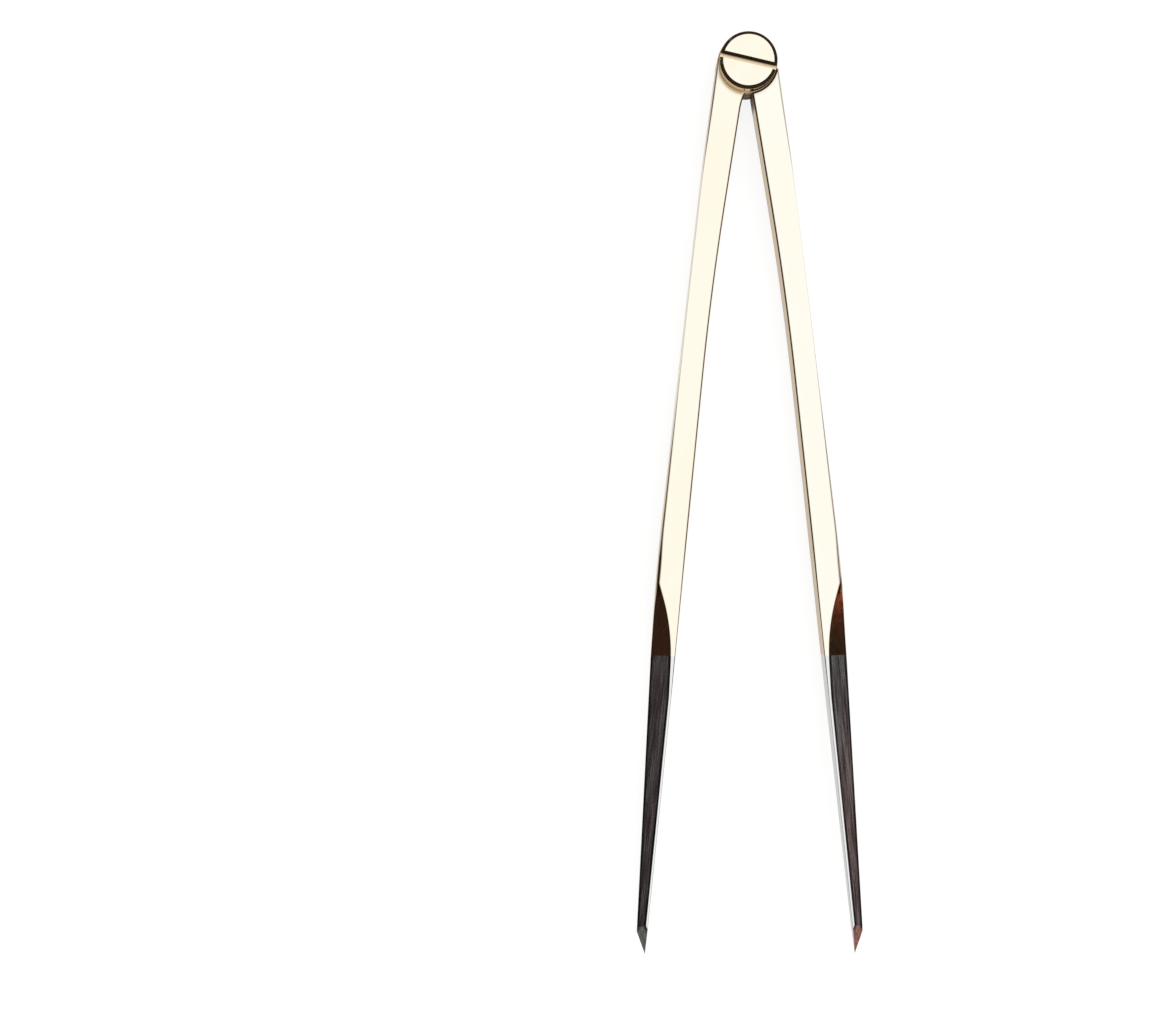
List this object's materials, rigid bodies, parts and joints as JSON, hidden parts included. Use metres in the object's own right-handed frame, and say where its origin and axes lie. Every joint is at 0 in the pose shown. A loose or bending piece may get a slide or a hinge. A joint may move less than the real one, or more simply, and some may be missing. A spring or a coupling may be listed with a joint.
{
  "type": "compass divider",
  "caption": "Flat brass divider with bevelled steel points, legs turning on a slotted friction pivot screw, for stepping off and transferring distances.",
  "frame": {"origin": "on the pivot axis, in the plane of the back faces that the divider lies on", "axes": "+Z along the pivot axis out of the slotted screw head, -Y from the pivot towards the points along the middle line between the legs, +X towards the tongue leg"},
  "size_m": [0.0436, 0.1765, 0.0089],
  "materials": {
    "leg_brass": "polished, fine lengthwise marks",
    "point_steel": "ground lengthwise",
    "screw_brass": "turned and polished",
    "nut_brass": "turned",
    "spring_steel": "dull",
    "washer_bronze": "dull"
  },
  "bodies": {
    "fork": {"fork_leg": "leg_brass", "fork_point": "point_steel", "sleeve_nut": "nut_brass", "spring_washer": "spring_steel", "front_friction_washer": "washer_bronze", "rear_friction_washer": "washer_bronze"},
    "tongue": {"tongue_leg": "leg_brass", "tongue_point": "point_steel"},
    "screw": {"pivot_screw": "screw_brass"}
  },
  "joints": [
    {"name": "leg_hinge", "type": "hinge", "parent": "fork", "child": "tongue", "pos_m": [0, 0, 0], "axis": [0, 0, 1], "range_deg": [-13.4, 166.5]},
    {"name": "tension_screw", "type": "hinge", "parent": "fork", "child": "screw", "pos_m": [0, 0, 0], "axis": [0, 0, -1], "range_deg": [-90, 45]}
  ]
}
